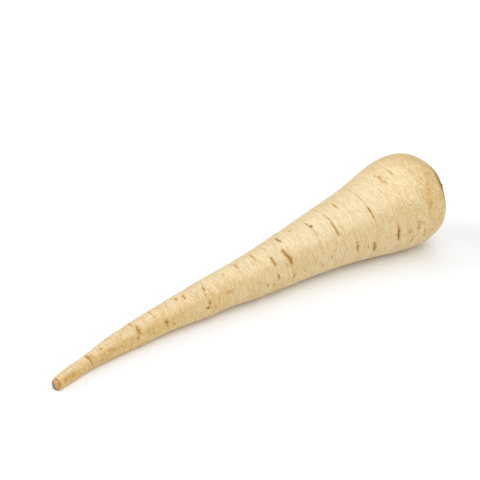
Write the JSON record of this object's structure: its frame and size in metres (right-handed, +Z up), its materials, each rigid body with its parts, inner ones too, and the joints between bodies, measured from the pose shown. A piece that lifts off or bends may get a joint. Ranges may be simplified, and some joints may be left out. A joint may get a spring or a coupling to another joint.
{
  "type": "parsnip",
  "caption": "A whole parsnip lying on its side: a long cream taproot tapering to a thin tip, with ring creases, sunk scars and a brown crown of cut leaf-stalk stubs.",
  "frame": {"origin": "under the middle of the parsnip's box, on the surface it lies on", "axes": "+X along the root towards the crown, +Z up"},
  "size_m": [0.245, 0.0526, 0.0513],
  "materials": {
    "skin": "thin waxy cream skin with fine cross lines and ochre scars",
    "cork": "dry matt brown"
  },
  "bodies": {
    "root": {"taproot": "skin", "crown": "cork"}
  },
  "joints": []
}
